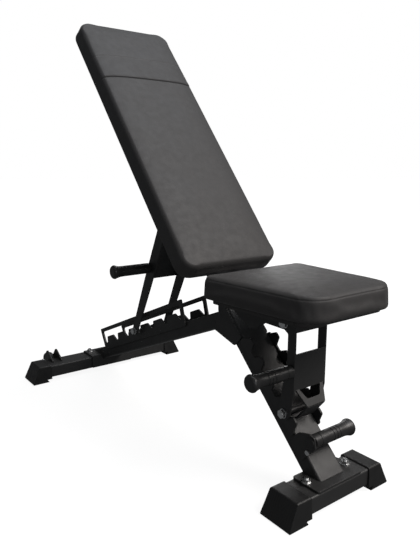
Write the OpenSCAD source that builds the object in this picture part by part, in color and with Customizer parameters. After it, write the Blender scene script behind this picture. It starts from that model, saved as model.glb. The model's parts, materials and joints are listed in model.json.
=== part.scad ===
// Adjustable weight bench: ladder-adjusted back and seat on an A-shaped box-tube frame.
// Axes: +X is the user's left, -Y is the seat end, +Z is up. The origin lies on the floor
// under the middle of the bench. Side outlines are drawn in the Y-Z plane and extruded along X.

/* [Frame tubes] */
// Width of every box tube, across the bench
tube_w = 76; // [70:1:80]
// Depth of every box tube
tube_h = 40; // [38:1:42]
// Wall thickness of the box tubes
tube_wall = 3; // [2:0.5:4]
// Corner radius of the box tubes
tube_r = 5; // [4:0.5:7]
// Thickness of the laser-cut side plates
plate_t = 5; // [4:0.5:5]
// Angle of the front leg above the floor
leg_angle = 45; // [44:0.5:46]
// Fall of the spine towards the rear foot
spine_angle = 22; // [21.5:0.5:22.5]

/* [Feet] */
// Width over the front foot caps
front_foot_w = 318; // [310:2:360]
// Width over the rear foot caps
rear_foot_w = 585; // [560:5:640]
// Height of the cross tubes above the floor
foot_lift = 14; // [12:1:16]
// Place of the front cross tube along the bench
front_foot_y = -557; // [-560:1:-554]
// Place of the rear cross tube along the bench
rear_foot_y = 501; // [498:1:504]

/* [Pads] */
// Width of the back pad
back_pad_w = 300; // [260:5:310]
// Length of the back pad
back_pad_l = 850; // [780:10:880]
// Thickness of the back pad above its board
back_pad_t = 47; // [40:1:50]
// Width of the seat pad at its rear edge
seat_pad_w = 300; // [270:5:310]
// Width of the seat pad at its front edge
seat_pad_front_w = 272; // [250:2:290]
// Length of the seat pad
seat_pad_l = 304; // [290:2:310]
// Thickness of the seat pad above its board
seat_pad_t = 51; // [45:1:55]
// Thickness of the plywood boards under the pads
board_t = 12; // [10:1:14]

/* [Hinge and struts] */
// Place of the main hinge along the bench
hinge_y = -229; // [-230:0.5:-228]
// Height of the main hinge
hinge_z = 415; // [414:0.5:416]
// Angle of the back above the floor
back_angle = 50; // [49.5:0.1:50.5]
// Length of the back strut between its pivot and its pin
back_strut_l = 440; // [438:0.5:442]
// Lean of the back strut from upright
back_strut_lean = 27; // [26.8:0.1:27.2]
// Pitch of the back ladder's teeth
back_pitch = 83; // [82:0.5:84]
// Pitch of the seat ladder's notches
seat_pitch = 51; // [50:0.5:52]

/* [Handles] */
// Radius of the rubber grips
grip_r = 15; // [14:0.5:16]
// Length of a rubber grip
grip_l = 116; // [100:2:124]

/* [Hidden] */
$fn = 64;
fit = 0.05;

half_w = tube_w / 2;
plate_x = half_w + plate_t;
half_h = tube_h / 2;

// Leg: u runs up the leg from its foot, v is square to it, towards the seat.
leg_foot_y = front_foot_y + 11;
leg_foot_z = 57;
// Spine: u runs down to the rear from this point on its axis, v is square to it, upwards.
spine_y = 126;
spine_z = 198;

// Heights of the feet.
bar_top = foot_lift + tube_h;
flange_t = 5;
flange_top = bar_top + flange_t;
cap_inset = 67;
cap_top_inset = 27;
cap_wall = 3.5;
cap_base_d = 88;
cap_top_d = 82;

// Ladder of the back: heights are measured from the spine's axis.
ladder_rear = 320;
ladder_front = -228;
ladder_top = half_h + 62;
ladder_root = half_h + 10;
ladder_band = ladder_top - 12.5;
tooth_top = half_h + 30;
first_tooth = 250;
teeth = 6;
post_w = 14;
back_pin_u = first_tooth - 2.5 * back_pitch;
back_pin_v = half_h + 17;
back_pin_y = spine_y + back_pin_u * cos(spine_angle) + back_pin_v * sin(spine_angle);
back_pin_z = spine_z - back_pin_u * sin(spine_angle) + back_pin_v * cos(spine_angle);
pin_r = 6;

// Back strut: x runs down from its pivot, y is towards the rear.
strut_top_y = back_pin_y - back_strut_l * sin(back_strut_lean);
strut_top_z = back_pin_z + back_strut_l * cos(back_strut_lean);
back_strut_x = 54;
strut_t = 4;
web_from = 48;
web_to = 252;
back_handle_at = 206;
sleeve_r = 13;

// Seat and its strut.
seat_top = 478;
seat_rear_y = -301;
seat_board_bottom = seat_top - seat_pad_t - board_t;
seat_pivot_y = -464;
seat_pivot_z = 386;
seat_pin_u = 142.8;
seat_pin_v = half_h + 11;
seat_pin_y = leg_foot_y + seat_pin_u * cos(leg_angle) - seat_pin_v * sin(leg_angle);
seat_pin_z = leg_foot_z + seat_pin_u * sin(leg_angle) + seat_pin_v * cos(leg_angle);
seat_strut_x = 45.5;
seat_web_front = 32;
seat_frame_x = 33;
seat_frame_t = 4.5;
seat_grip_y = seat_pivot_y - 22;
seat_grip_z = 283;

// Back frame: x runs up the pad from the hinge, y is square to the pad's face.
back_face = 59;
back_pad_from = 40;
ear_x = 27.6;
ear_t = 4.4;
back_tube_w = 2 * ear_x - 0.1;
back_tube_h = 40;
back_tube_from = 62;
back_tube_to = 770;
pad_corner = 45;

hinge_r = 8;
wheel_r = 28;
wheel_w = 24;
wheel_x = 190;
wheel_y = 577;
wheel_z = 36;
wheel_bracket_t = 4;

black = [0.07, 0.07, 0.075];
vinyl = [0.24, 0.24, 0.25];
steel = [0.75, 0.76, 0.78];
rubber = [0.05, 0.05, 0.05];
ply = [0.62, 0.48, 0.33];

// ---- helpers ----
function unit(v) = v / norm(v);
// One rounded corner at p1, between the sides towards p0 and p2.
function corner(p0, p1, p2, r, n) =
    let (a = unit(p0 - p1), b = unit(p2 - p1), half = acos(a * b) / 2, t = r / tan(half),
         c = p1 + unit(a + b) * t / cos(half), s = p1 + a * t - c, e = p1 + b * t - c,
         from = atan2(s[1], s[0]), turn = atan2(s[0] * e[1] - s[1] * e[0], s * e))
    [for (i = [0:n]) c + r * [cos(from + turn * i / n), sin(from + turn * i / n)]];
// A polygon's points with every corner rounded by r.
function rounded(p, r, n = 5) =
    let (m = len(p))
    [for (i = [0:m - 1]) each corner(p[(i + m - 1) % m], p[i], p[(i + 1) % m], r, n)];

// Extrudes a Y-Z outline from x0 by w along X.
module side(x0, w) {
    translate([x0, 0, 0]) rotate([90, 0, 90]) linear_extrude(w) children();
}
// The same outline on both sides of the bench.
module both_sides(x0, w) {
    side(x0, w) children();
    side(-x0 - w, w) children();
}
module rod(x0, x1, r, y = 0, z = 0) {
    translate([x0, y, z]) rotate([0, 90, 0]) cylinder(h = x1 - x0, r = r);
}
module rounded_rect(w, h, r) {
    square([w - 2 * r, h], center = true);
    square([w, h - 2 * r], center = true);
    for (x = [-1, 1], y = [-1, 1])
        translate([x * (w / 2 - r), y * (h / 2 - r)]) circle(r);
}
module tube_profile(w, h) {
    difference() {
        rounded_rect(w, h, tube_r);
        rounded_rect(w - 2 * tube_wall, h - 2 * tube_wall, tube_r - tube_wall + 0.5);
    }
}
// Placements in the Y-Z plane.
module on_leg_2d() { translate([leg_foot_y, leg_foot_z]) rotate(leg_angle) children(); }
module on_spine_2d() { translate([spine_y, spine_z]) rotate(-spine_angle) children(); }
module on_back_2d() { translate([hinge_y, hinge_z]) rotate(back_angle) children(); }
module on_strut_2d() { translate([strut_top_y, strut_top_z]) rotate(back_strut_lean - 90) children(); }
module mirrored() {
    children();
    mirror([1, 0, 0]) children();
}
// Hex head or nut along X: from x0 outwards by h.
module hex_along_x(x0, h, across, y, z) {
    translate([x0, y, z]) rotate([0, 90, 0]) cylinder(h = h, r = across / sqrt(3), $fn = 6);
}
module hex_up(x, y, z, h, across) {
    translate([x, y, z]) cylinder(h = h, r = across / sqrt(3), $fn = 6);
}

// ---- frame ----
module front_leg() {
    leg_length = 470;
    top_z = hinge_z - 31;
    back_y = hinge_y + 9;
    color(black) difference() {
        translate([0, leg_foot_y, leg_foot_z]) rotate([leg_angle - 90, 0, 0])
            translate([0, 0, -60]) linear_extrude(leg_length + 60) tube_profile(tube_w, tube_h);
        translate([-100, leg_foot_y - 150, -80]) cube([200, 300, flange_top + 80]);
        translate([-100, back_y - 200, top_z]) cube([200, 400, 200]);
        translate([-100, back_y, leg_foot_z + 150]) cube([200, 200, 300]);
    }
}
module spine() {
    face_offset = half_h / sin(leg_angle);
    color(black) difference() {
        translate([0, spine_y, spine_z]) rotate([-90 - spine_angle, 0, 0])
            translate([0, 0, -480]) linear_extrude(960) tube_profile(tube_w, tube_h);
        spine_front_cut();
        translate([-100, rear_foot_y - half_w - flange_t, -200]) cube([200, 400, 200 + flange_top]);
    }
}
// Everything in front of the leg's rear face and of the apex's rear plate.
module spine_front_cut() {
    side(-100, 200) on_leg_2d() translate([-100, -half_h]) square([900, 300]);
    translate([-100, hinge_y - 200, -50]) cube([200, 209, 700]);
}
module apex_cap() {
    cap_t = 4;
    top_z = hinge_z - 31;
    back_y = hinge_y + 9;
    color(black) {
        translate([-half_w + 0.5, back_y - 27, top_z]) cube([tube_w - 1, 31, cap_t]);
        translate([-half_w + 0.5, back_y, top_z - 24]) cube([tube_w - 1, cap_t, 24]);
    }
}
module hinge_plate(x0) {
    y = hinge_y;
    outline = rounded([[y + 5, hinge_z - 5], [y + 5, 350], [y + 24, 311], [y - 58, 288],
        [y - 84, 314], [y - 24, 374], [y - 24, hinge_z - 5]], 5);
    color(black) difference() {
        union() {
            side(x0, plate_t) polygon(outline);
            rod(x0, x0 + plate_t, 25, hinge_y, hinge_z);
        }
        rod(x0 - 1, x0 + plate_t + 1, hinge_r + fit, hinge_y, hinge_z);
    }
}
module back_ladder(x0) {
    side_lap = 12;
    outline = rounded([[ladder_rear - 9, half_h - side_lap], [ladder_rear, ladder_top],
        [ladder_front, ladder_top], [ladder_front + 7, half_h - side_lap]], 4);
    tooth_points = [for (i = [0:teeth - 1]) let (c = first_tooth - i * back_pitch)
        each [[c + 33, ladder_root], [c + 27, tooth_top], [c - 17, tooth_top], [c - 36, ladder_root]]];
    slot = rounded(concat([[ladder_rear - post_w - 6, ladder_root]], tooth_points,
        [[ladder_front + post_w + 5, ladder_root], [ladder_front + post_w, ladder_band],
         [ladder_rear - post_w, ladder_band]]), 4.5);
    color(black) side(x0, plate_t) on_spine_2d() difference() {
        polygon(outline);
        polygon(slot);
    }
}
module seat_ladder(x0) {
    tooth_u = [for (i = [0:4]) seat_pin_u + (i - 0.5) * seat_pitch];
    top_v = half_h + 25;
    root_v = seat_pin_v - pin_r - 1;
    teeth_points = [for (c = tooth_u)
        each [[c - 17, root_v], [c - 8, top_v], [c + 7, top_v], [c + 17, root_v]]];
    base = [[tooth_u[4] + 22, root_v], [tooth_u[4] + 22, 6], [tooth_u[0] - 22, 6], [tooth_u[0] - 22, root_v]];
    color(black) side(x0, plate_t) on_leg_2d() polygon(rounded(concat(teeth_points, base), 5));
}
module cross_tube(y, length) {
    color(black) translate([-length / 2, y, foot_lift + half_h]) rotate([90, 0, 90])
        linear_extrude(length) tube_profile(tube_w, tube_h);
}
module front_crossbar() { cross_tube(front_foot_y, front_foot_w - 2 * 34); }
module rear_crossbar() { cross_tube(rear_foot_y, rear_foot_w - 2 * 34); }
module front_flange() {
    w = 140;
    color(black) difference() {
        translate([0, front_foot_y, bar_top]) linear_extrude(flange_t) rounded_rect(w, tube_w, 6);
        for (x = [-62, 62]) translate([x, front_foot_y + 4, bar_top - 1]) cylinder(h = 9, r = 5.5);
    }
}
module rear_saddle() {
    w = 152;
    front = rear_foot_y - half_w;
    color(black) difference() {
        union() {
            translate([-w / 2, front - flange_t, foot_lift + 2]) cube([w, flange_t, tube_h - 2 + flange_t]);
            translate([-w / 2, front - 0.01, bar_top]) cube([w, 70, flange_t]);
        }
        for (x = [-63, 63]) translate([x, rear_foot_y + 8, bar_top - 1]) cylinder(h = 9, r = 5.5);
    }
}
// Hollow flared boot over one end of a cross tube, on the +X side.
module foot_cap(y, width) {
    x_out = width / 2;
    x_in = x_out - cap_inset;
    x_tube = x_out - 33;
    top = bar_top + cap_wall;
    end_outline = rounded([[x_in, 0], [x_out, 0], [x_out - cap_top_inset, top], [x_in, top]], 4);
    sole_z = foot_lift - cap_wall;
    arch = [[x_in - 1, -1], [x_in + 9, -1], [x_in + 16, sole_z], [x_in - 1, sole_z]];
    base = rounded([[-cap_base_d / 2, 0], [cap_base_d / 2, 0], [cap_top_d / 2 + 0.5, top * 0.55],
        [cap_top_d / 2 - 1, top], [-cap_top_d / 2 + 1, top], [-cap_top_d / 2 - 0.5, top * 0.55]], 4);
    color(rubber) difference() {
        intersection() {
            translate([0, y + 60, 0]) rotate([90, 0, 0]) linear_extrude(120) polygon(end_outline);
            translate([x_in - 5, y, 0]) rotate([90, 0, 90]) linear_extrude(cap_inset + 10) polygon(base);
        }
        translate([0, y + 60, 0]) rotate([90, 0, 0]) linear_extrude(120) polygon(arch);
        translate([x_in - 1, y, foot_lift + half_h]) rotate([90, 0, 90])
            linear_extrude(x_tube - x_in + 2) rounded_rect(tube_w + 0.2, tube_h + 0.2, tube_r);
    }
}
module foot_bolts(y, spread) {
    color(steel) for (x = [-spread, spread]) {
        translate([x, y, flange_top]) cylinder(h = 2, r = 11);
        hex_up(x, y, flange_top + 2, 7, 16);
        translate([x, y, flange_top + 9]) cylinder(h = 4, r = 4.8);
        translate([x, y, bar_top + 0.2]) cylinder(h = flange_t - 0.2, r = 5);
    }
}
module front_bolts() { foot_bolts(front_foot_y + 4, 62); }
module rear_bolts() { foot_bolts(rear_foot_y + 8, 63); }

// ---- transport handle and wheels ----
handle_y = leg_foot_y + 3;
handle_z = 139;
module handle_bracket() {
    y = handle_y;
    outline = rounded([[y + 51, 108], [y + 36, 84], [y + 24, 86], [y - 14, 130], [y - 10, 152],
        [y + 6, 156], [y + 36, 148], [y + 58, 124]], 4);
    color(black) difference() {
        side(-plate_x, plate_t) polygon(outline);
        rod(-plate_x - 1, -half_w + 1, 8 + fit, y, handle_z);
        rod(-plate_x - 1, -half_w + 1, 3.6, handle_screw_y, handle_screw_z);
    }
}
handle_screw_y = handle_y + 7;
handle_screw_z = 113;
module handle_rod() {
    color(black) {
        rod(-plate_x, 80, 8, handle_y, handle_z);
        rod(-plate_x - 2, -plate_x, 11, handle_y, handle_z);
    }
}
module handle_screw() {
    color(steel) {
        rod(-plate_x - 3, -plate_x, 5.5, handle_screw_y, handle_screw_z);
        rod(-plate_x - 1, -half_w + 3, 3.4, handle_screw_y, handle_screw_z);
    }
}
// Rubber grip along X, from x0 outwards, with a flared end and ring grooves. Its bore fits the rod.
module grip(length, y, z, bore_r) {
    flare_r = grip_r + 4.5;
    groove = 0.9;
    groove_at = [length * 0.44, length * 0.52, length * 0.60, length * 0.13];
    translate([0, y, z]) rotate([0, 90, 0]) rotate([0, 0, 90]) difference() {
        rotate_extrude() polygon(concat([[0, 0], [grip_r, 0]],
            [for (i = [0:12]) let (t = i / 12)
                [grip_r + (flare_r - grip_r) * pow(t, 2.2), length - 34 + 26 * t]],
            [for (i = [1:5]) let (a = 90 * i / 5)
                [flare_r - 8 + 8 * cos(a), length - 8 + 8 * sin(a)]], [[0, length]]));
        for (at = groove_at) translate([0, 0, at]) difference() {
            cylinder(h = 2.2, r = grip_r + 2);
            translate([0, 0, -1]) cylinder(h = 5, r = grip_r - groove);
        }
        translate([0, 0, -1]) cylinder(h = length - 5, r = bore_r);
    }
}
module handle_grip() {
    color(rubber) translate([-half_w + 1, 0, 0]) grip(124, handle_y, handle_z, 8 + fit);
}
module wheel_bracket(x) {
    bar_rear = rear_foot_y + half_w;
    outline = rounded([[bar_rear + 0.1, 20], [bar_rear + 0.1, bar_top + 0.1], [bar_rear - 46, bar_top + 0.1],
        [bar_rear - 40, bar_top + 7], [bar_rear + 2, bar_top + 31], [bar_rear + 10, bar_top + 28],
        [wheel_y + 12, wheel_z + 3], [wheel_y + 10, wheel_z - 8], [wheel_y - 4, wheel_z - 13]], 2.5);
    color(black) difference() {
        for (side_x = [x - wheel_w / 2 - 1.5 - wheel_bracket_t, x + wheel_w / 2 + 1.5])
            side(side_x, wheel_bracket_t) polygon(outline);
        rod(x - 40, x + 40, 5 + fit, wheel_y, wheel_z);
    }
}
module wheel_axles() {
    reach = wheel_w / 2 + 1.5 + wheel_bracket_t;
    color(steel) for (x = [-wheel_x, wheel_x]) {
        rod(x - reach - 0.2, x + reach + 4, 5, wheel_y, wheel_z);
        rod(x - reach - 5, x - reach - 0.1, 8.5, wheel_y, wheel_z);
        hex_along_x(x + reach + 0.1, 5, 15, wheel_y, wheel_z);
    }
}
module wheel(x) {
    color(rubber) translate([x - wheel_w / 2, wheel_y, wheel_z]) rotate([0, 90, 0]) rotate_extrude()
        polygon([[7.6, 1], [13, 1], [15, 5], [20, 5], [22, 0], [wheel_r - 3, 0], [wheel_r, 4],
            [wheel_r, wheel_w - 4], [wheel_r - 3, wheel_w], [22, wheel_w], [20, wheel_w - 5],
            [15, wheel_w - 5], [13, wheel_w - 1], [7.6, wheel_w - 1]]);
}
module wheel_bush(x) {
    color([0.8, 0.8, 0.78]) difference() {
        rod(x - wheel_w / 2 - 1, x + wheel_w / 2 + 1, 7.55, wheel_y, wheel_z);
        rod(x - wheel_w, x + wheel_w, 5 + fit, wheel_y, wheel_z);
    }
}
module main_hinge_bolt() {
    color(steel) {
        rod(-plate_x - 0.2, plate_x + 11, hinge_r, hinge_y, hinge_z);
        hex_along_x(-plate_x - 8.2, 8, 24, hinge_y, hinge_z);
    }
}
module main_hinge_nut() {
    color(steel) difference() {
        hex_along_x(plate_x + 0.3, 9, 24, hinge_y, hinge_z);
        rod(plate_x, plate_x + 12, hinge_r + fit, hinge_y, hinge_z);
    }
}

// ---- back ----
module rounded_plan(w, from, to, r) {
    polygon(rounded([[-w / 2, from], [w / 2, from], [w / 2, to], [-w / 2, to]], r, 8));
}
// A child drawn with x up the pad, y across the bench and z square to the pad's face.
module on_back() {
    translate([0, hinge_y, hinge_z]) rotate([back_angle, 0, 0]) children();
}
module back_pad() {
    from = back_pad_from;
    to = from + back_pad_l;
    profile = rounded([[from, back_face - back_pad_t + 0.3], [to, back_face - back_pad_t + 0.3],
        [to, back_face], [from, back_face]], 16);
    color(vinyl) intersection() {
        on_back() translate([0, 0, -10]) linear_extrude(100) rounded_plan(back_pad_w, from, to, pad_corner);
        side(-back_pad_w / 2, back_pad_w) on_back_2d() polygon(profile);
    }
}
module back_board() {
    inset = 12;
    from = back_pad_from + inset;
    to = back_pad_from + back_pad_l - inset;
    color(ply) on_back() linear_extrude(board_t)
        rounded_plan(back_pad_w - 2 * inset, from, to, pad_corner - 8);
}
module back_tube() {
    color(black) difference() {
        on_back() translate([0, back_tube_from, -back_tube_h / 2 - 0.2]) rotate([-90, 0, 0])
            linear_extrude(back_tube_to - back_tube_from) tube_profile(back_tube_w, back_tube_h);
        rod(-60, 60, sleeve_r + 0.2, strut_top_y, strut_top_z);
    }
    color(black) difference() {
        rod(-back_strut_x + 0.8, back_strut_x - 0.8, sleeve_r, strut_top_y, strut_top_z);
        rod(-60, 60, pin_r + fit, strut_top_y, strut_top_z);
    }
}
module back_tube_cap() {
    color(rubber) on_back() translate([0, back_tube_to + 0.2, -back_tube_h / 2 - 0.2]) rotate([-90, 0, 0]) {
        linear_extrude(4) rounded_rect(back_tube_w, back_tube_h, tube_r);
        translate([0, 0, -12]) linear_extrude(12) rounded_rect(back_tube_w - 7, back_tube_h - 7, 2);
    }
}
module back_ears() {
    outline = rounded([[-14, -14], [70, -39], [150, -39], [150, -1], [34, -1], [10, 17], [-14, 14]], 4);
    color(black) difference() {
        both_sides(ear_x, ear_t) on_back_2d() union() {
            polygon(outline);
            circle(20);
        }
        rod(-60, 60, hinge_r + fit, hinge_y, hinge_z);
    }
}
bracket_places = [156, 430, 700];
module back_brackets() {
    w = 220;
    d = 40;
    color(black) on_back() for (at = bracket_places) difference() {
        union() {
            for (s = [-1, 1]) translate([s > 0 ? back_tube_w / 2 + 0.3 : -w / 2, at, -4.2])
                cube([w / 2 - back_tube_w / 2 - 0.3, d, 4]);
            for (s = [-1, 1]) translate([s > 0 ? back_tube_w / 2 + 0.3 : -back_tube_w / 2 - 4.3, at, -26])
                cube([4, d, 22]);
        }
        for (s = [-1, 1]) translate([s * 92, at + d / 2, -6]) cylinder(h = 8, r = 4.2);
    }
}
module back_screws() {
    color(steel) on_back() for (at = bracket_places, s = [-1, 1]) translate([s * 92, at + 20, 0]) {
        translate([0, 0, -7.2]) cylinder(h = 3, r = 8);
        translate([0, 0, -4.2]) cylinder(h = 4, r = 4);
    }
}

// ---- back strut ----
module back_strut() {
    flange = rounded([[-17, -13], [-4, -19], [web_to, -18], [back_strut_l + 4, -13],
        [back_strut_l + 14, -6], [back_strut_l + 14, 6], [back_strut_l + 4, 13], [web_to, 19], [-4, 19],
        [-17, 13]], 5);
    color(black) difference() {
        union() {
            both_sides(back_strut_x, strut_t) on_strut_2d() polygon(flange);
            side(-back_strut_x - 0.01, 2 * back_strut_x + 0.02) on_strut_2d()
                translate([web_from, 19 - strut_t]) square([web_to - web_from, strut_t]);
        }
        rod(-80, 80, pin_r + fit, strut_top_y, strut_top_z);
        rod(-80, 80, pin_r + fit, back_pin_y, back_pin_z);
    }
}
back_handle_y = strut_top_y + back_handle_at * sin(back_strut_lean) + 9;
back_handle_z = strut_top_z - back_handle_at * cos(back_strut_lean) + 4;
// Handle rod with its welded collar, on the right side only.
module strut_rod(x_face, y, z, length) {
    color(black) mirror([1, 0, 0]) {
        rod(x_face, x_face + 4, 13, y, z);
        rod(x_face + 4 - 0.01, x_face + length - 8, 8, y, z);
    }
}
module back_strut_rod() { strut_rod(back_strut_x + strut_t + 0.1, back_handle_y, back_handle_z, grip_l); }
module strut_grip(x_face, y, z) {
    color(rubber) mirror([1, 0, 0]) translate([x_face + 4.2, 0, 0]) grip(grip_l, y, z, 8 + fit);
}
module back_grip() { strut_grip(back_strut_x + strut_t + 0.1, back_handle_y, back_handle_z); }
module pivot_bolt(x_face, y, z) {
    color(steel) {
        rod(-x_face - 0.3, x_face + 9, pin_r, y, z);
        rod(-x_face - 2.2, -x_face - 0.2, 11, y, z);
        hex_along_x(-x_face - 9.2, 7, 18, y, z);
        rod(x_face + 0.2, x_face + 2.2, 11, y, z);
        hex_along_x(x_face + 2.2, 8, 18, y, z);
    }
}
module back_pivot_bolt() { pivot_bolt(back_strut_x + strut_t, strut_top_y, strut_top_z); }
// The pin bears on both ladder plates from outside, so it is two short shouldered pins.
module back_strut_pins() {
    color(steel) mirrored() rod(plate_x + 0.6, back_strut_x + strut_t + 9, pin_r, back_pin_y, back_pin_z);
}
module back_pin_nuts() {
    x = back_strut_x + strut_t + 0.2;
    color(steel) mirrored() difference() {
        union() {
            rod(x, x + 2, 11, back_pin_y, back_pin_z);
            hex_along_x(x + 2, 7, 18, back_pin_y, back_pin_z);
        }
        rod(x - 1, x + 12, pin_r + fit, back_pin_y, back_pin_z);
    }
}

// ---- seat ----
// Plan of the seat: well-rounded front corners of radius r and tighter rear ones.
module seat_plan(inset, r) {
    front = seat_rear_y - seat_pad_l + inset;
    rear = seat_rear_y - inset;
    x_rear = seat_pad_w / 2 - inset;
    x_front = seat_pad_front_w / 2 - inset;
    corners = [[-x_rear, rear], [-x_front, front], [x_front, front], [x_rear, rear]];
    radii = [r / 2, r, r, r / 2];
    polygon([for (i = [0:3])
        each corner(corners[(i + 3) % 4], corners[i], corners[(i + 1) % 4], radii[i], 8)]);
}
module seat_pad() {
    front = seat_rear_y - seat_pad_l;
    bottom = seat_top - seat_pad_t + 0.3;
    rear = seat_rear_y;
    profile = rounded([[front, bottom], [rear, bottom], [rear, seat_top], [front, seat_top]], 22, 8);
    color(vinyl) intersection() {
        translate([0, 0, bottom - 5]) linear_extrude(90) seat_plan(0, 42);
        side(-seat_pad_w / 2, seat_pad_w) polygon(profile);
    }
}
module seat_board() {
    color(ply) translate([0, 0, seat_board_bottom]) linear_extrude(board_t) seat_plan(14, 30);
}
seat_screw_places = [[-20, -400], [20, -400], [-20, -510], [20, -510]];
module seat_frame() {
    top = seat_board_bottom - 0.2;
    flange = rounded([[hinge_y + 14, hinge_z + 12], [hinge_y + 14, hinge_z - 13],
        [hinge_y - 40, hinge_z - 36], [hinge_y - 104, hinge_z - 74],
        [hinge_y - 130, hinge_z - 68], [hinge_y - 160, hinge_z - 48],
        [seat_pivot_y + 20, seat_pivot_z - 20], [seat_pivot_y - 18, seat_pivot_z - 18],
        [seat_pivot_y - 30, top - 4], [seat_pivot_y - 60, top - 14], [seat_pivot_y - 60, top],
        [hinge_y - 70, top], [hinge_y - 24, hinge_z + 12]], 4);
    color(black) difference() {
        union() {
            both_sides(seat_frame_x, seat_frame_t) union() {
                polygon(flange);
                translate([hinge_y, hinge_z]) circle(20);
            }
            translate([-seat_frame_x - 0.01, seat_pivot_y - 58, top - 4.5])
                cube([2 * seat_frame_x + 0.02, 150, 4.5]);
        }
        rod(-60, 60, hinge_r + fit, hinge_y, hinge_z);
        rod(-60, 60, sleeve_r + 0.1, seat_pivot_y, seat_pivot_z);
        for (p = seat_screw_places) translate([p[0], p[1], top - 8]) cylinder(h = 12, r = 4.2);
    }
}
module seat_sleeve() {
    color(black) difference() {
        rod(-seat_strut_x + 0.6, seat_strut_x - 0.6, sleeve_r, seat_pivot_y, seat_pivot_z);
        rod(-60, 60, pin_r + fit, seat_pivot_y, seat_pivot_z);
    }
}
module seat_screws() {
    top = seat_board_bottom - 0.2;
    color(steel) for (p = seat_screw_places) translate([p[0], p[1], 0]) {
        translate([0, 0, top - 7.6]) cylinder(h = 3, r = 8);
        translate([0, 0, top - 4.6]) cylinder(h = 4.4, r = 4);
    }
}

// ---- seat strut ----
module seat_strut() {
    y = seat_pivot_y;
    front = y - seat_web_front;
    window_top = 370;
    window_bottom = 322;
    web_bottom = 240;
    flange = rounded([[y - 14, seat_pivot_z + 15], [y + 12, seat_pivot_z + 12], [y + 15, seat_pivot_z - 6],
        [front + 22, window_top - 6], [front + 22, window_bottom - 18], [seat_pin_y + 15, seat_pin_z + 10],
        [seat_pin_y + 13, seat_pin_z - 12], [seat_pin_y - 8, seat_pin_z - 15],
        [seat_pin_y - 18, seat_pin_z - 2], [front, web_bottom - 4], [front, seat_pivot_z + 4]], 4);
    color(black) difference() {
        union() {
            both_sides(seat_strut_x, strut_t) polygon(flange);
            translate([-seat_strut_x - 0.01, front, web_bottom])
                cube([2 * seat_strut_x + 0.02, strut_t, window_bottom - web_bottom]);
            translate([-seat_strut_x - 0.01, front, window_top])
                cube([2 * seat_strut_x + 0.02, strut_t, 17]);
            seat_strut_lip(front, web_bottom);
        }
        rod(-80, 80, pin_r + fit, seat_pivot_y, seat_pivot_z);
        rod(-80, 80, pin_r + fit, seat_pin_y, seat_pin_z);
    }
}
// Finger lip: a narrowing tab with a window, bent forward under the web and folded back.
module seat_strut_lip(front, web_bottom) {
    lip_y = front - 19;
    lip_z = 205;
    run = front + strut_t - lip_y;
    fall = web_bottom + 1 - lip_z;
    drop = norm([run, fall]);
    fold = 49;
    translate([0, front + strut_t, web_bottom + 1]) rotate([-atan2(run, fall), 0, 0])
        translate([0, 0, -drop]) rotate([90, 0, 0]) linear_extrude(strut_t) difference() {
            polygon([[-43, drop], [-28, 0], [28, 0], [43, drop]]);
            polygon(concat([[-34, drop + 1]], corner([-34, drop + 1], [-20, 17], [20, 17], 6, 6),
                corner([-20, 17], [20, 17], [34, drop + 1], 6, 6), [[34, drop + 1]]));
        }
    translate([-28, lip_y, lip_z]) rotate([-50, 0, 0]) translate([0, -1, -2]) cube([56, fold, strut_t]);
}
module seat_strut_rod() { strut_rod(seat_strut_x + strut_t + 0.1, seat_grip_y, seat_grip_z, grip_l); }
module seat_grip() { strut_grip(seat_strut_x + strut_t + 0.1, seat_grip_y, seat_grip_z); }
module seat_pivot_bolt() { pivot_bolt(seat_strut_x + strut_t, seat_pivot_y, seat_pivot_z); }
// The pin crosses above the leg between the ladder plates and bears on them from outside.
module seat_strut_pins() {
    x = seat_strut_x + strut_t + 0.2;
    color(steel) {
        rod(-half_w + 0.6, half_w - 0.6, pin_r, seat_pin_y, seat_pin_z);
        mirrored() {
            rod(plate_x + 0.6, x + 10, pin_r, seat_pin_y, seat_pin_z);
            rod(x, x + 2, 11, seat_pin_y, seat_pin_z);
            hex_along_x(x + 1.9, 7, 18, seat_pin_y, seat_pin_z);
        }
    }
}

front_leg();
spine();
apex_cap();
hinge_plate(half_w);  // hinge_plate_left
hinge_plate(-plate_x);  // hinge_plate_right
back_ladder(half_w);  // back_ladder_left
back_ladder(-plate_x);  // back_ladder_right
seat_ladder(half_w);  // seat_ladder_left
seat_ladder(-plate_x);  // seat_ladder_right
front_crossbar();
front_flange();
foot_cap(front_foot_y, front_foot_w);  // front_cap_left
mirror([1, 0, 0]) foot_cap(front_foot_y, front_foot_w);  // front_cap_right
front_bolts();
rear_crossbar();
rear_saddle();
foot_cap(rear_foot_y, rear_foot_w);  // rear_cap_left
mirror([1, 0, 0]) foot_cap(rear_foot_y, rear_foot_w);  // rear_cap_right
rear_bolts();
handle_bracket();
handle_rod();
handle_grip();
handle_screw();
wheel_bracket(wheel_x);  // wheel_bracket_left
wheel_bracket(-wheel_x);  // wheel_bracket_right
wheel_axles();
main_hinge_bolt();
main_hinge_nut();
wheel(wheel_x);  // wheel_left
wheel(-wheel_x);  // wheel_right
wheel_bush(wheel_x);  // wheel_bush_left
wheel_bush(-wheel_x);  // wheel_bush_right
back_pad();
back_board();
back_tube();
back_tube_cap();
back_ears();
back_brackets();
back_screws();
back_strut();
back_strut_rod();
back_grip();
back_pivot_bolt();
back_strut_pins();
back_pin_nuts();
seat_pad();
seat_board();
seat_frame();
seat_sleeve();
seat_screws();
seat_strut();
seat_strut_rod();
seat_grip();
seat_pivot_bolt();
seat_strut_pins();
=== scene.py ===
import json
import math

import bmesh
import bpy
import numpy as np
from mathutils import Matrix, Vector


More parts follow.
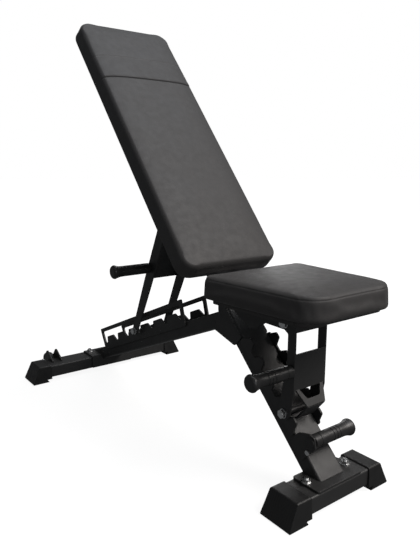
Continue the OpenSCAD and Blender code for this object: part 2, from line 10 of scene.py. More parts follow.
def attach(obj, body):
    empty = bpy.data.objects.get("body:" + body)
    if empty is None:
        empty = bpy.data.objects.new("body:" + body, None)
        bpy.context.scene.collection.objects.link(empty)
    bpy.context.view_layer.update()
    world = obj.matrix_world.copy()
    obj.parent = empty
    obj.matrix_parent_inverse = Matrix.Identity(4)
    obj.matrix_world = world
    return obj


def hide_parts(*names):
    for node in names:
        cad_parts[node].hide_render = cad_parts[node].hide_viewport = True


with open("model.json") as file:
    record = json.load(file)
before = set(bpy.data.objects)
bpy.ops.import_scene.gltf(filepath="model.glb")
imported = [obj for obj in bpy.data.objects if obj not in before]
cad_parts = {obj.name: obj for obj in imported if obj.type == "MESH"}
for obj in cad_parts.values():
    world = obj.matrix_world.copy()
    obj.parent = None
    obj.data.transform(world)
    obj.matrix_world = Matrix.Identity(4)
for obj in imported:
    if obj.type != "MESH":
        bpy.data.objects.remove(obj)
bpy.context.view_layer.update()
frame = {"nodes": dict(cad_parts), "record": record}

# Lengths are in metres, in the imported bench's own frame: +X its left, -Y its seat end, +Z up.

# ---- camera, light and floor ----
CAMERA_PLACE = (-0.8606, -1.2726, 0.7081)
CAMERA_PITCH = math.radians(78.62)
CAMERA_TURN = math.radians(-37.04)
CAMERA_LENS = 35.31
LIGHT_TARGET = (0.0, -0.1, 0.5)
# name: (place, width and height, watts, colour)
LIGHTS = {
    "key": ((2.1, -3.3, 4.4), (3.2, 2.8), 335.0, (1.0, 0.955, 0.92)),
    "fill": ((-1.2, -3.2, 1.3), (1.6, 1.2), 17.0, (0.95, 0.97, 1.0)),
    "top": ((0.5, -0.2, 3.6), (2.4, 2.4), 55.0, (0.93, 0.96, 1.0)),
    "rim": ((2.4, 2.6, 1.5), (1.2, 1.6), 20.0, (1.0, 1.0, 1.0)),
}
ROOM_GLOW = 0.13
FLOOR_RINGS = (1.5, 4.0, 12.0, 40.0)
FLOOR_SIDES = 64
FLOOR_GREY = 0.14
# The floor's own brightness beside the bench and out where it meets the backdrop
FLOOR_NEAR, FLOOR_FAR = 0.8, 3.5
FLOOR_GLOW_NEAR, FLOOR_GLOW_FAR = 0.92, 1.0


def link_object(name, data):
    obj = bpy.data.objects.new(name, data)
    bpy.context.scene.collection.objects.link(obj)
    return obj


def make_camera():
    data = bpy.data.cameras.new("camera")
    data.sensor_width = 36.0
    data.lens = CAMERA_LENS
    data.clip_end = 60.0
    camera = link_object("camera", data)
    camera.location = CAMERA_PLACE
    camera.rotation_euler = (CAMERA_PITCH, 0.0, CAMERA_TURN)
    bpy.context.scene.camera = camera


def make_lights():
    for name, (place, size, watts, colour) in LIGHTS.items():
        data = bpy.data.lights.new(name, "AREA")
        data.shape = "RECTANGLE"
        data.size, data.size_y = size
        data.energy = watts
        data.color = colour
        lamp = link_object(name, data)
        lamp.location = place
        aim = Vector(LIGHT_TARGET) - Vector(place)
        lamp.rotation_euler = aim.to_track_quat("-Z", "Y").to_euler()
        lamp.visible_camera = False


def make_world():
    """A white backdrop that gives the bench only a faint, even light."""
    world = bpy.data.worlds.new("studio")
    bpy.context.scene.world = world
    world.use_nodes = True
    nodes, links = world.node_tree.nodes, world.node_tree.links
    nodes.clear()
    out = nodes.new("ShaderNodeOutputWorld")
    mix = nodes.new("ShaderNodeMixShader")
    path = nodes.new("ShaderNodeLightPath")
    backdrop = nodes.new("ShaderNodeBackground")
    room = nodes.new("ShaderNodeBackground")
    backdrop.inputs["Color"].default_value = (1.0, 1.0, 1.0, 1.0)
    backdrop.inputs["Strength"].default_value = 1.0
    room.inputs["Color"].default_value = (0.96, 0.98, 1.0, 1.0)
    room.inputs["Strength"].default_value = ROOM_GLOW
    links.new(path.outputs["Is Camera Ray"], mix.inputs[0])
    links.new(room.outputs[0], mix.inputs[1])
    links.new(backdrop.outputs[0], mix.inputs[2])
    links.new(mix.outputs[0], out.inputs["Surface"])


def floor_mesh():
    """A flat disc of rings round one middle point."""
    turns = [2 * math.pi * i / FLOOR_SIDES for i in range(FLOOR_SIDES)]
    verts = [(r * math.cos(a), r * math.sin(a), 0.0) for r in FLOOR_RINGS for a in turns]
    middle = len(verts)
    verts.append((0.0, 0.0, 0.0))
    faces = [(i, (i + 1) % FLOOR_SIDES, middle) for i in range(FLOOR_SIDES)]
    for ring in range(len(FLOOR_RINGS) - 1):
        inner, outer = ring * FLOOR_SIDES, (ring + 1) * FLOOR_SIDES
        for i in range(FLOOR_SIDES):
            j = (i + 1) % FLOOR_SIDES
            faces.append((inner + i, outer + i, outer + j, inner + j))
    mesh = bpy.data.meshes.new("floor")
    mesh.from_pydata(verts, [], faces)
    return mesh


def make_floor():
    """A pale floor that fades into the white backdrop and doesn't light the bench from below."""
    n = Nodes("floor_paint")
    n.set(Roughness=0.9, Specular_IOR_Level=0.0)
    n.set(Base_Color=(*tone(FLOOR_GREY), 1.0), Emission_Color=(1.0, 1.0, 1.0, 1.0))
    distance = n.add("VectorMath")
    distance.operation = "LENGTH"
    n.link(n.coords, distance.inputs[0])
    glow = n.remap(distance.outputs["Value"], FLOOR_NEAR, FLOOR_FAR, FLOOR_GLOW_NEAR, FLOOR_GLOW_FAR)
    n.link(glow, n.shader.inputs["Emission Strength"])
    mesh = floor_mesh()
    mesh.materials.append(n.mat)
    floor = link_object("floor", mesh)
    floor.visible_diffuse = False
    floor.visible_glossy = False


# ---- materials ----
class Nodes:
    """Short names for building one material's node tree."""

    def __init__(self, name):
        self.mat = bpy.data.materials.new(name)
        self.mat.use_nodes = True
        self.tree = self.mat.node_tree
        self.shader = self.tree.nodes["Principled BSDF"]
        self.coords = self.add("TexCoord").outputs["Object"]

    def add(self, kind, **inputs):
        """A new node with its inputs set by name. An underscore stands for a space."""
        node = self.tree.nodes.new("ShaderNode" + kind)
        for key, value in inputs.items():
            node.inputs[key.replace("_", " ")].default_value = value
        return node

    def link(self, a, b):
        self.tree.links.new(a, b)

    def set(self, **values):
        for key, value in values.items():
            self.shader.inputs[key.replace("_", " ")].default_value = value

    def paint(self, colour, roughness, normal):
        """Plugs the finished colour, roughness and normal into the shader."""
        self.link(colour, self.shader.inputs["Base Color"])
        self.link(roughness, self.shader.inputs["Roughness"])
        self.link(normal, self.shader.inputs["Normal"])
        return self.mat

    def noise(self, scale, detail=3.0, rough=0.5, stretch=None):
        node = self.add("TexNoise", Scale=scale, Detail=detail, Roughness=rough)
        source = self.coords
        if stretch:
            mapping = self.add("Mapping", Scale=stretch)
            self.link(self.coords, mapping.inputs["Vector"])
            source = mapping.outputs["Vector"]
        self.link(source, node.inputs["Vector"])
        return node.outputs["Fac"]

    def cells(self, scale):
        """Distance to the edges of small irregular cells, as leather grain has."""
        node = self.add("TexVoronoi")
        node.feature = "DISTANCE_TO_EDGE"
        node.inputs["Scale"].default_value = scale
        self.link(self.coords, node.inputs["Vector"])
        return node.outputs["Distance"]

    def axis(self, vector, letter):
        node = self.add("SeparateXYZ")
        self.link(vector, node.inputs["Vector"])
        return node.outputs[letter]

    def calc(self, operation, a, b):
        """A Math node on socket a and on b, a socket or a number."""
        node = self.add("Math")
        node.operation = operation
        self.link(a, node.inputs[0])
        if isinstance(b, float):
            node.inputs[1].default_value = b
        else:
            self.link(b, node.inputs[1])
        return node.outputs["Value"]

    def ramp(self, fac, start, end):
        """A blend between two colours, each given as (position, colour)."""
        node = self.add("ValToRGB")
        for stop, (position, colour) in zip(node.color_ramp.elements, (start, end)):
            stop.position = position
            stop.color = (*colour, 1.0)
        self.link(fac, node.inputs["Fac"])
        return node.outputs["Color"]

    def remap(self, value, from_low, from_high, to_low=0.0, to_high=1.0):
        node = self.add("MapRange", From_Min=from_low, From_Max=from_high, To_Min=to_low, To_Max=to_high)
        self.link(value, node.inputs["Value"])
        return node.outputs["Result"]

    def span(self, noise, low, high):
        """Spreads a noise, which rarely leaves 0.3 to 0.7, over low to high."""
        return self.remap(noise, 0.3, 0.7, low, high)

    def bump(self, height, strength, distance, below=None):
        """A relief of that height, laid over the normal below it."""
        node = self.add("Bump", Strength=strength, Distance=distance)
        self.link(height, node.inputs["Height"])
        if below is not None:
            self.link(below, node.inputs["Normal"])
        return node.outputs["Normal"]

    def mix(self, a, b, fac):
        node = self.add("Mix")
        node.data_type = "RGBA"
        self.link(fac, node.inputs["Factor"])
        self.link(a, node.inputs["A"])
        self.link(b, node.inputs["B"])
        return node.outputs["Result"]

    def rounded(self, radius):
        """Normals that soften every sharp edge, and a mask of those edges."""
        node = self.add("Bevel", Radius=radius)
        node.samples = 4
        flat = self.add("NewGeometry").outputs["Normal"]
        dot = self.add("VectorMath")
        dot.operation = "DOT_PRODUCT"
        self.link(node.outputs["Normal"], dot.inputs[0])
        self.link(flat, dot.inputs[1])
        return node.outputs["Normal"], self.remap(dot.outputs["Value"], 0.99, 0.85)


def tone(value, tint=(1.0, 1.0, 1.0)):
    return tuple(value * t for t in tint)


def powder_coat():
    """Black powder coat with a fine orange peel, rubbed a little greyer along its edges."""
    n = Nodes("powder_coat")
    n.set(Specular_IOR_Level=0.42)
    blotch = n.ramp(n.noise(9.0), (0.3, tone(0.016)), (0.7, tone(0.021)))
    rubbed = n.ramp(n.noise(60.0), (0.45, tone(0.018)), (0.75, tone(0.05, (1.0, 0.98, 0.95))))
    soft, edge = n.rounded(0.0018)
    peel = n.bump(n.noise(950.0, 2.0), strength=0.22, distance=0.0005, below=soft)
    waves = n.bump(n.noise(140.0, 1.0), strength=0.08, distance=0.001, below=peel)
    return n.paint(n.mix(blotch, rubbed, edge), n.span(n.noise(35.0, 4.0), 0.42, 0.56), waves)


def vinyl(low, high, painted_light_tint_low, painted_light_tint_high):
    """Matte upholstery vinyl with a fine leather grain. Its tone drifts from the seat up to the pad's top,
    and that drift is painted light: warmer and a little darker at the seat, cooler and a little lighter at
    the pad's top.
    """
    # painted light: between these heights the tone drifts from warm and a little darker at the seat to cool
    # and a little lighter at the pad's top
    painted_light_from, painted_light_to = 0.42, 1.1
    n = Nodes("vinyl")
    n.set(Specular_IOR_Level=0.24, Sheen_Weight=0.05, Sheen_Roughness=0.4)
    height = n.remap(n.axis(n.coords, "Z"), painted_light_from, painted_light_to)
    painted_light_drift = n.ramp(height, (0.0, tone(low, painted_light_tint_low)), (1.0, tone(high, painted_light_tint_high)))
    # the mottle's darker and lighter ends carry the same painted warm and cool light tints
    darker, lighter = tone(low * 0.9, painted_light_tint_low), tone(high * 1.08, painted_light_tint_high)
    mottled = n.ramp(n.noise(14.0, 4.0), (0.3, darker), (0.7, lighter))
    share = n.ramp(n.noise(3.0), (0.35, tone(0.15)), (0.65, tone(0.35)))
    grain = n.bump(n.cells(520.0), strength=0.30, distance=0.0005)
    creases = n.bump(n.noise(320.0, 5.0, 0.65), strength=0.22, distance=0.0005, below=grain)
    swells = n.bump(n.noise(26.0, 2.0), strength=0.10, distance=0.002, below=creases)
    return n.paint(n.mix(painted_light_drift, mottled, share), n.span(n.noise(55.0, 3.0), 0.5, 0.62), swells)


def rubber(name, value, rough_low, rough_high, grain):
    """Moulded rubber or plastic of one tone, with a grain of that scale."""
    n = Nodes(name)
    n.set(Specular_IOR_Level=0.4)
    colour = n.ramp(n.noise(40.0), (0.3, tone(value * 0.85)), (0.7, tone(value * 1.2)))
    soft, _ = n.rounded(0.0012)
    pebbles = n.bump(n.noise(grain, 3.0), strength=0.18, distance=0.0004, below=soft)
    return n.paint(colour, n.span(n.noise(70.0), rough_low, rough_high), pebbles)


def ribbed_plastic(value, pitch):
    """Moulded foot plastic with fine upright ribs on its end faces, which look along X."""
    n = Nodes("foot_plastic")
    n.set(Specular_IOR_Level=0.4)
    colour = n.ramp(n.noise(30.0), (0.3, tone(value * 0.85)), (0.7, tone(value * 1.15)))
    wave = n.add("TexWave", Scale=math.pi / (10.0 * pitch))
    wave.bands_direction = "Y"
    n.link(n.coords, wave.inputs["Vector"])
    outward = n.axis(n.add("NewGeometry").outputs["True Normal"], "X")
    on_ends = n.calc("POWER", n.calc("MULTIPLY", outward, outward), 3.0)
    ribs = n.calc("MULTIPLY", wave.outputs["Fac"], on_ends)
    soft, _ = n.rounded(0.0035)
    grain = n.bump(n.noise(1200.0, 3.0), strength=0.15, distance=0.0004, below=soft)
    relief = n.bump(ribs, strength=0.7, distance=0.0012, below=grain)
    return n.paint(colour, n.span(n.noise(60.0), 0.4, 0.55), relief)


def zinc():
    """Bright zinc with fine turning marks across the bench."""
    n = Nodes("zinc_steel")
    n.set(Metallic=1.0)
    colour = n.ramp(n.noise(160.0), (0.3, (0.56, 0.57, 0.58)), (0.7, (0.74, 0.74, 0.73)))
    marks = n.bump(n.noise(900.0, 2.0, 0.5, (0.15, 1.0, 1.0)), strength=0.12, distance=0.0003)
    return n.paint(colour, n.span(n.noise(300.0), 0.16, 0.34), marks)


def dark_board():
    """Plywood stained black, with its fibres just showing."""
    n = Nodes("stained_board")
    n.set(Specular_IOR_Level=0.25)
    fibres = n.noise(60.0, 5.0, 0.6, (1.0, 12.0, 12.0))
    colour = n.ramp(fibres, (0.3, (0.010, 0.009, 0.009)), (0.7, (0.026, 0.023, 0.021)))
    relief = n.bump(fibres, strength=0.25, distance=0.0006)
    return n.paint(colour, n.span(n.noise(30.0), 0.6, 0.8), relief)


# ---- where the pads lie: u across the bench, v along the pad, w square to its face ----
def pad_space(origin, along, normal):
    """The matrix that puts (u, v, w) in its place on the bench."""
    along, normal = Vector(along), Vector(normal)
    space = Matrix((along.cross(normal), along, normal)).transposed().to_4x4()
    space.translation = Vector(origin)
    return space


def joint_at(name):
    return next(Vector(j["pos_m"]) for j in frame["record"]["behaviour"]["joints"] if j["name"] == name)


def node_extent(space, node):
    """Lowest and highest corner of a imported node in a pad's own directions."""
    flip = space.inverted()
    corners = [flip @ v.co for v in frame["nodes"][node].data.vertices]
    return [min(c[i] for c in corners) for i in range(3)], [max(c[i] for c in corners) for i in range(3)]


BACK_ANGLE = math.radians(50.0)
BACK_ALONG = (0.0, math.cos(BACK_ANGLE), math.sin(BACK_ANGLE))
BACK_NORMAL = (0.0, -math.sin(BACK_ANGLE), math.cos(BACK_ANGLE))
BACK = pad_space(joint_at("back_tilt"), BACK_ALONG, BACK_NORMAL)
SEAT = pad_space((0.0, 0.0, 0.0), (0.0, 1.0, 0.0), (0.0, 0.0, 1.0))


# ---- meshes ----
def positions(mesh):
    co = np.zeros(len(mesh.vertices) * 3, np.float64)
    mesh.vertices.foreach_get("co", co)
    return co.reshape(-1, 3)


def put_positions(mesh, co):
    mesh.vertices.foreach_set("co", np.ascontiguousarray(co, np.float32).ravel())
    mesh.update()


def shade_smooth(mesh):
    mesh.polygons.foreach_set("use_smooth", [True] * len(mesh.polygons))


def select_only(obj):
    bpy.ops.object.select_all(action="DESELECT")
    obj.select_set(True)
    bpy.context.view_layer.objects.active = obj


def joined(parts):
    verts, faces = [], []
    for part_verts, part_faces in parts:
        base = len(verts)
        verts += part_verts
        faces += [tuple(base + i for i in face) for face in part_faces]
    return verts, faces


def new_piece(name, verts, faces, material, body, space):
    mesh = bpy.data.meshes.new(name)
    mesh.from_pydata(verts, [], faces)
    mesh.transform(space)
    shade_smooth(mesh)
    mesh.materials.append(material)
    obj = link_object(name, mesh)
    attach(obj, body)


# ---- pad outlines and their first shape ----
CORNER_STEPS = 9
SMALLEST_RADIUS = 0.002
BOARD_FIT = 0.0004


def outline(half_from, half_to, v0, v1, radii, inset):
    """Rounded trapezoid, half_from wide each side at v0 and half_to at v1, with a radius for each end."""
    slope = (half_to - half_from) / (v1 - v0)
    low, high = v0 + inset, v1 - inset
    half_low, half_high = (half_from + slope * (v - v0) - inset for v in (low, high))
    corners = [(half_low, low, 270), (half_high, high, 0), (-half_high, high, 90), (-half_low, low, 180)]
    points = []
    for u, v, start in corners:
        r = max((radii[0] if v == low else radii[1]) - inset, SMALLEST_RADIUS)
        cu = u - math.copysign(r, u)
        cv = v + (r if v == low else -r)
        for i in range(CORNER_STEPS + 1):
            a = math.radians(start + 90 * i / CORNER_STEPS)
            points.append((cu + r * math.cos(a), cv + r * math.sin(a)))
    return points


def pad_rings(bottom, top, edge_low, edge_high, crown, deepest, board_inset, wrap):
    """(inset, height) of each ring: over the board, down its edge, round the side and over the crown."""
    low_steps, high_steps = 6, 8
    middle = 0.6 * deepest
    inside = board_inset - BOARD_FIT
    rings = [(middle, bottom), (inside, bottom), (inside, bottom - wrap), (edge_low, bottom - wrap)]
    for i in range(1, low_steps + 1):
        a = math.radians(90 * i / low_steps)
        rings.append((edge_low * (1 - math.sin(a)), bottom - wrap + edge_low * (1 - math.cos(a))))
    for i in range(high_steps + 1):
        a = math.radians(90 * i / high_steps)
        rings.append((edge_high * (1 - math.cos(a)), top - edge_high * (1 - math.sin(a))))
    for share in (0.3, 0.55, 0.8, 0.97):
        inset = edge_high + (deepest - edge_high) * share
        rings.append((inset, top + crown * math.sin(math.pi / 2 * share)))
    return rings


def pad_body(name, shape, rings):
    """A closed body skinned over the outline at each ring."""
    bm = bmesh.new()
    loops = []
    for inset, w in rings:
        loops.append([bm.verts.new((u, v, w)) for u, v in outline(*shape, inset)])
    for a, b in zip(loops, loops[1:]):
        for i in range(len(a)):
            j = (i + 1) % len(a)
            bm.faces.new((a[i], a[j], b[j], b[i]))
    bm.faces.new(list(reversed(loops[0])))
    bm.faces.new(loops[-1])
    bmesh.ops.recalc_face_normals(bm, faces=bm.faces)
    mesh = bpy.data.meshes.new(name)
    bm.to_mesh(mesh)
    bm.free()
    return link_object(name, mesh)


# ---- padded covers ----
VOXEL = 0.005
PRESSURE = 4.0
CLOTH_FRAMES = 20
# The most that the cover may swell, and how much of its underside is held still
SWELL = 0.004
HELD_DEPTH = 0.004
# How much too small the cover is drawn, at its outline and at its face, before it swells
DRAWN_SLACK = 0.002
FACE_SLACK = 0.0035
# Smoothing leaves the cover's underside alone up to SOFT_FROM, and levels its face down to LEVEL_DEPTH
SOFT_FROM = 0.002
SOFTEN_ROUNDS = 9
LEVEL_ROUNDS = 150
LEVEL_DEPTH = 0.006


def inflate(obj, bottom):
    """Remeshes the cover evenly, blows it up with Cloth and keeps its underside on the board."""
    select_only(obj)
    obj.data.remesh_voxel_size = VOXEL
    bpy.ops.object.voxel_remesh()
    rest = positions(obj.data)
    held = obj.vertex_groups.new(name="held")
    under = [i for i in range(len(rest)) if rest[i, 2] < bottom + HELD_DEPTH]
    held.add(under, 1.0, "REPLACE")
    cloth = obj.modifiers.new("cover", "CLOTH")
    settings = cloth.settings
    settings.quality = 4
    settings.mass = 0.4
    settings.tension_stiffness = 22
    settings.compression_stiffness = 22
    settings.bending_stiffness = 1.2
    settings.use_pressure = True
    settings.uniform_pressure_force = PRESSURE
    settings.vertex_group_mass = "held"
    settings.effector_weights.gravity = 0.0
    cloth.point_cache.frame_start = 1
    cloth.point_cache.frame_end = CLOTH_FRAMES
    scene = bpy.context.scene
    for number in range(1, CLOTH_FRAMES + 1):
        scene.frame_set(number)
    graph = bpy.context.evaluated_depsgraph_get()
    swollen = positions(obj.evaluated_get(graph).data)
    obj.modifiers.remove(cloth)
    scene.frame_set(1)
    move = swollen - rest
    length = np.linalg.norm(move, axis=1, keepdims=True)
    move *= SWELL * np.tanh(length / SWELL) / np.maximum(length, 1e-9)
    put_positions(obj.data, rest + move)


def soften(obj, keep_below):
    """Evens out the cover without shrinking its underside: each round shrinks it, then regrows it."""
    shrink, regrow = 0.55, -0.57
    mesh = obj.data
    edges = np.array([e.vertices[:] for e in mesh.edges])
    co = positions(mesh)
    count = np.zeros(len(co))
    np.add.at(count, edges[:, 0], 1)
    np.add.at(count, edges[:, 1], 1)
    free = (co[:, 2] > keep_below)[:, None]
    for _ in range(SOFTEN_ROUNDS):
        for factor in (shrink, regrow):
            total = np.zeros_like(co)
            np.add.at(total, edges[:, 0], co[edges[:, 1]])
            np.add.at(total, edges[:, 1], co[edges[:, 0]])
            co = np.where(free, co + factor * (total / count[:, None] - co), co)
    put_positions(mesh, co)


def level_face(obj, above):
    """Smooths only the height of the cover's face, so that it stays even from edge to edge."""
    mesh = obj.data
    edges = np.array([e.vertices[:] for e in mesh.edges])
    first, second = edges[:, 0], edges[:, 1]
    w = positions(mesh)[:, 2]
    count = np.bincount(edges.ravel(), minlength=len(w))
    face = w > above
    for _ in range(LEVEL_ROUNDS):
        total = np.bincount(first, w[second], len(w)) + np.bincount(second, w[first], len(w))
        w = np.where(face, 0.5 * w + 0.5 * total / count, w)
    co = positions(mesh)
    co[:, 2] = w
    put_positions(mesh, co)


def subdivide(obj):
    select_only(obj)
    smooth = obj.modifiers.new("smooth", "SUBSURF")
    smooth.levels = smooth.render_levels = 1
    bpy.ops.object.modifier_apply(modifier="smooth")


def fit_extent(co, low, high, top):
    """Stretches the swollen cover to exactly the given length, width and face height."""
    for axis in (0, 1):
        start, end = co[:, axis].min(), co[:, axis].max()
        co[:, axis] = low[axis] + (co[:, axis] - start) / (end - start) * (high[axis] - low[axis])
    start, end = co[:, 2].min(), co[:, 2].max()
    co[:, 2] = start + (co[:, 2] - start) / (end - start) * (top - start)


def sewn_cover(name, space, pad, board, shape, edge_low, edge_high, proud, crown, deepest, wrap):
    """A pad's cover: drawn tight over its foam and board, swollen by Cloth and brought back to size.

    edge_low and edge_high round its lower and upper edges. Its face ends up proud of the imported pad's and
    domes by crown over deepest, and it reaches down over the board's side by wrap.
    """
    low, high = node_extent(space, pad)
    board_low, _ = node_extent(space, board)
    half_from, half_to, v0, v1, radii = shape
    drawn = (half_from - DRAWN_SLACK, half_to - DRAWN_SLACK, v0 + DRAWN_SLACK, v1 - DRAWN_SLACK, radii)
    board_inset = board_low[1] - low[1]
    rings = pad_rings(low[2], high[2] - FACE_SLACK, edge_low, edge_high, crown, deepest, board_inset, wrap)
    obj = pad_body(name, drawn, rings)
    inflate(obj, low[2])
    soften(obj, low[2] - wrap + SOFT_FROM)
    level_face(obj, high[2] - LEVEL_DEPTH)
    subdivide(obj)
    co = positions(obj.data)
    wide = max(half_from, half_to)
    fit_extent(co, (-wide, v0), (wide, v1), high[2] + proud)
    put_positions(obj.data, co)
    shade_smooth(obj.data)
    return obj, low[2] - wrap


def finish_cover(obj, space, material, body, pad):
    obj.data.transform(space)
    obj.data.materials.append(material)
    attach(obj, body)
    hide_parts(pad)


# ---- seams and stitches ----
SEAM_CUTS = (-0.008, -0.0045, -0.0024, -0.0011, 0.0, 0.0011, 0.0024, 0.0045, 0.008)
# A seam fades out down the pad's side, from the first depth under its face to the second
SEAM_FADE_END, SEAM_FADE = 0.030, 0.015
LAP_REACH = 0.03


def cut_across(obj, at, axis):
    """Adds edge loops round the cover on both sides of the plane where the given axis reaches at."""
    normal = [float(k == axis) for k in range(3)]
    bm = bmesh.new()
    bm.from_mesh(obj.data)
    for offset in SEAM_CUTS:
        place = [n * (at + offset) for n in normal]
        geometry = bm.verts[:] + bm.edges[:] + bm.faces[:]
        bmesh.ops.bisect_plane(bm, geom=geometry, dist=1e-5, plane_co=place, plane_no=normal)
    bm.to_mesh(obj.data)
    bm.free()


def press_seam(obj, at, depth, width, step, face):
    """A lapped seam across the face at v = at: a slit, with the upper panel standing a little proud."""
    cut_across(obj, at, 1)
    co = positions(obj.data)
    v, w = co[:, 1], co[:, 2]
    weight = np.clip((w - (face - SEAM_FADE_END)) / SEAM_FADE, 0, 1)
    slit = depth * np.exp(-((v - at) / width) ** 2)
    upper_panel = 0.5 * (1 + np.tanh((v - at) / (0.5 * width)))
    lap = step * np.exp(-np.clip(v - at, 0, None) / LAP_REACH) * upper_panel
    co[:, 2] += weight * (lap - slit)
    put_positions(obj.data, co)


def press_side_seam(obj, at, depth, width):
    """The seam round the cover's sides at height w = at, where the top panel meets the side panel."""
    cut_across(obj, at, 2)
    mesh = obj.data
    co = positions(mesh)
    normals = np.zeros(len(co) * 3)
    mesh.vertices.foreach_get("normal", normals)
    inward = -normals.reshape(-1, 3)
    inward[:, 2] = 0.0
    slit = depth * np.exp(-((co[:, 2] - at) / width) ** 2)
    put_positions(mesh, co + slit[:, None] * inward)


def face_height(obj, u, v):
    """Height of the cover's face at (u, v), before it is put in place."""
    hit, place, _, _ = obj.ray_cast((u, v, 1.0), (0.0, 0.0, -1.0))
    return place[2] if hit else None


def thread(start, end, radius, lift):
    """One stitch or staple: an arched thread that dips into the cover at both ends."""
    sides, rings = 6, 5
    start, end = Vector(start), Vector(end)
    along = (end - start).normalized()
    up = Vector((0.0, 0.0, 1.0))
    across = along.cross(up)
    verts = []
    for k in range(rings):
        share = k / (rings - 1)
        arch = math.sin(math.pi * share)
        centre = start.lerp(end, share) + up * (lift * arch - 0.4 * radius)
        r = radius * (0.35 + 0.65 * arch)
        for s in range(sides):
            a = 2 * math.pi * s / sides
            verts.append(centre + r * (math.cos(a) * across + math.sin(a) * up))
    faces = []
    for k in range(0, (rings - 1) * sides, sides):
        for s in range(sides):
            t = (s + 1) % sides
            faces.append((k + s, k + t, k + sides + t, k + sides + s))
    faces.append(tuple(range(sides)))
    faces.append(tuple(reversed(range((rings - 1) * sides, rings * sides))))
    return verts, faces


def stitch_row(obj, at):
    """A row of stitches across the cover's face at v = at."""
    half, pitch, length = 0.134, 0.0052, 0.0038
    radius, lift = 0.00035, 0.0004
    parts = []
    count = int(2 * half / pitch)
    for i in range(count):
        u0 = -half + i * pitch
        w = face_height(obj, u0 + length / 2, at)
        if w is not None:
            parts.append(thread((u0, at, w), (u0 + length, at, w), radius, lift))
    return joined(parts)


# ---- undersides ----
HEM_WIDTH = 0.022
HEM_THICK = 0.0014
HEM_FIT = 0.0002
HEM_OVERLAP = 0.003
STAPLE_INSET = 0.6 * HEM_WIDTH
STAPLE_HALF = 0.005
STAPLE_RADIUS = 0.0006
STAPLE_LIFT = 0.0007
STAPLE_PITCH = 0.028


def hem(board, cover_bottom, board_bottom, gap):
    """The cover wrapped round the board's edge and folded under it, with a gap at its far end's middle."""
    top = cover_bottom + HEM_OVERLAP
    outside, inside = board_bottom - HEM_THICK, board_bottom - HEM_FIT
    section = [(-HEM_THICK, top), (-HEM_THICK, outside), (HEM_WIDTH, outside),
               (HEM_WIDTH, inside), (-HEM_FIT, inside), (-HEM_FIT, top)]
    paths = []
    for inset, w in section:
        loop = outline(*board, inset)
        half = len(loop) // 2
        loop = loop[half:] + loop[:half]
        if gap:
            v_end = board[3] - inset
            loop = [(-gap, v_end)] + loop + [(gap, v_end)]
        paths.append([(u, v, w) for u, v in loop])
    count = len(paths[0])
    verts = [p for path in paths for p in path]
    last = count - 1 if gap else count
    faces = []
    for a in range(len(section)):
        b = (a + 1) % len(section)
        for i in range(last):
            j = (i + 1) % count
            faces.append((a * count + i, a * count + j, b * count + j, b * count + i))
    if gap:
        faces.append(tuple(a * count for a in range(len(section))))
        faces.append(tuple(a * count + count - 1 for a in reversed(range(len(section)))))
    return verts, faces


def along_outline(board, inset, pitch, gap):
    """Evenly spaced places and headings round an outline, except within gap of the far end's middle."""
    clear_u, clear_v = 0.01, 0.04
    loop = outline(*board, inset)
    loop.append(loop[0])
    places, left = [], pitch / 2
    for (u0, v0), (u1, v1) in zip(loop, loop[1:]):
        length = math.hypot(u1 - u0, v1 - v0)
        while left < length:
            share = left / length
            u, v = u0 + (u1 - u0) * share, v0 + (v1 - v0) * share
            if not (gap and abs(u) < gap + clear_u and v > board[3] - clear_v):
                places.append((u, v, (u1 - u0) / length, (v1 - v0) / length))
            left += pitch
        left -= length
    return places


def staples(board, w, gap):
    """Staples that face down, along the hem."""
    parts = []
    for u, v, du, dv in along_outline(board, STAPLE_INSET, STAPLE_PITCH, gap):
        start = (u - STAPLE_HALF * du, v - STAPLE_HALF * dv, -w)
        end = (u + STAPLE_HALF * du, v + STAPLE_HALF * dv, -w)
        verts, faces = thread(start, end, STAPLE_RADIUS, STAPLE_LIFT)
        parts.append(([Vector((p.x, p.y, -p.z)) for p in verts], [tuple(reversed(f)) for f in faces]))
    return joined(parts)


def make_underside(prefix, space, body, cover_bottom, taper, radii, gap):
    """What shows from behind: the cover wrapped round the board, folded under it and stapled."""
    low, high = node_extent(space, prefix + "_board")
    board = (high[0] - taper, high[0], low[1], high[1], radii)
    hem_verts, hem_faces = hem(board, cover_bottom, low[2], gap)
    new_piece(prefix + "_hem", hem_verts, hem_faces, materials["vinyl"], body, space)
    row_verts, row_faces = staples(board, low[2] - HEM_THICK, gap)
    new_piece(prefix + "_staples", row_verts, row_faces, materials["zinc_steel"], body, space)


# ---- the two pads ----
# Places of the back pad's two cross seams, from the hinge
MAIN_SEAM_V = 0.662
FAINT_SEAM_V = 0.742
# How far the seat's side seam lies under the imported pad's face
SIDE_SEAM_DROP = 0.009


def make_back_pad():
    stretch = 0.001
    lower_radius, upper_radius = 0.034, 0.040
    low, high = node_extent(BACK, "back_pad")
    half = high[0] + stretch
    shape = (half, half, low[1] - stretch, high[1] + stretch, (lower_radius, upper_radius))
    obj, cover_bottom = sewn_cover("back_cushion", BACK, "back_pad", "back_board", shape, edge_low=0.005,
                                   edge_high=0.016, proud=0.0005, crown=0.001, deepest=0.146, wrap=0.009)
    press_seam(obj, MAIN_SEAM_V, depth=0.0034, width=0.0020, step=0.0018, face=high[2])
    press_seam(obj, FAINT_SEAM_V, depth=0.0007, width=0.0020, step=0.0003, face=high[2])
    for name, at in (("main", MAIN_SEAM_V + 0.005), ("faint", FAINT_SEAM_V + 0.004)):
        verts, faces = stitch_row(obj, at)
        new_piece("back_stitches_" + name, verts, faces, materials["vinyl"], "backrest", BACK)
    finish_cover(obj, BACK, materials["vinyl"], "backrest", "back_pad")
    make_underside("back", BACK, "backrest", cover_bottom, taper=0.0, radii=(0.032, 0.032), gap=0.0)


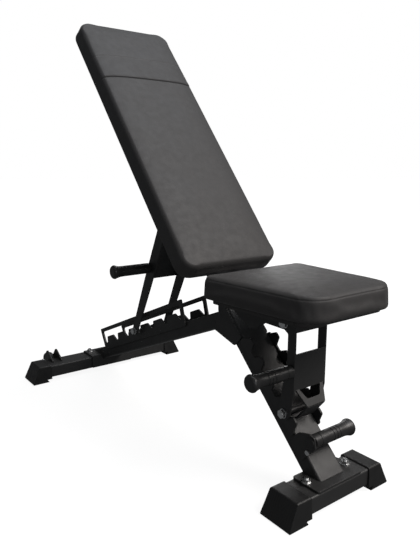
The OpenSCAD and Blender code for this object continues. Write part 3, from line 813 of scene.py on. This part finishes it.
def make_seat_pad():
    """The seat's cover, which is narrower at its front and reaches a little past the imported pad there."""
    front_taper, rear_spread = 0.012, 0.006
    front_reach, rear_reach = 0.015, 0.003
    front_radius, rear_radius = 0.060, 0.020
    low, high = node_extent(SEAT, "seat_pad")
    shape = (high[0] - front_taper, high[0] + rear_spread, low[1] - front_reach, high[1] + rear_reach,
             (front_radius, rear_radius))
    obj, cover_bottom = sewn_cover("seat_cushion", SEAT, "seat_pad", "seat_board", shape, edge_low=0.004,
                                   edge_high=0.016, proud=0.010, crown=0.003, deepest=0.120, wrap=0.002)
    press_side_seam(obj, high[2] - SIDE_SEAM_DROP, depth=0.0008, width=0.0015)
    finish_cover(obj, SEAT, materials["vinyl"], "seat", "seat_pad")
    make_underside("seat", SEAT, "seat", cover_bottom, taper=0.013, radii=(0.030, 0.015), gap=0.042)


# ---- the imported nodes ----
def paint_middle_rod(node, paint):
    """The rod between the seat strut's arms is painted with them, unlike the bright pin ends outside."""
    arm_x = 0.042
    node.data.materials.append(paint)
    for face in node.data.polygons:
        if all(abs(node.data.vertices[i].co.x) < arm_x for i in face.vertices):
            face.material_index = 1


def dress_nodes():
    """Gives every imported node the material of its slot."""
    slots = {s["node"]: s["material_slot"] for s in frame["record"]["subparts"]}
    for name, node in frame["nodes"].items():
        node.data.materials.clear()
        node.data.materials.append(materials[slots[name]])
    paint_middle_rod(frame["nodes"]["seat_strut_pins"], materials["powder_coat"])


make_camera()
make_lights()
make_world()
make_floor()
# Tints of the painted light on the vinyl: warm at the seat, cool at the pad's top
PAINTED_WARM_LIGHT, PAINTED_COOL_LIGHT = (1.06, 1.0, 0.98), (0.97, 0.99, 1.05)
materials = {
    "powder_coat": powder_coat(),
    # the vinyl's two tones, at the seat and at the pad's top, are painted light too: a little darker low down
    "vinyl": vinyl(0.031, 0.033, PAINTED_WARM_LIGHT, PAINTED_COOL_LIGHT),
    "board": dark_board(),
    "zinc_steel": zinc(),
    "grip_rubber": rubber("grip_rubber", 0.016, 0.34, 0.46, grain=800.0),
    "foot_plastic": ribbed_plastic(0.008, pitch=0.006),
    "wheel_tread": rubber("wheel_tread", 0.02, 0.5, 0.65, grain=900.0),
    "bush_plastic": rubber("bush_plastic", 0.05, 0.4, 0.5, grain=1000.0),
}
dress_nodes()
make_back_pad()
make_seat_pad()

bpy.context.scene.view_settings.view_transform = "Standard"
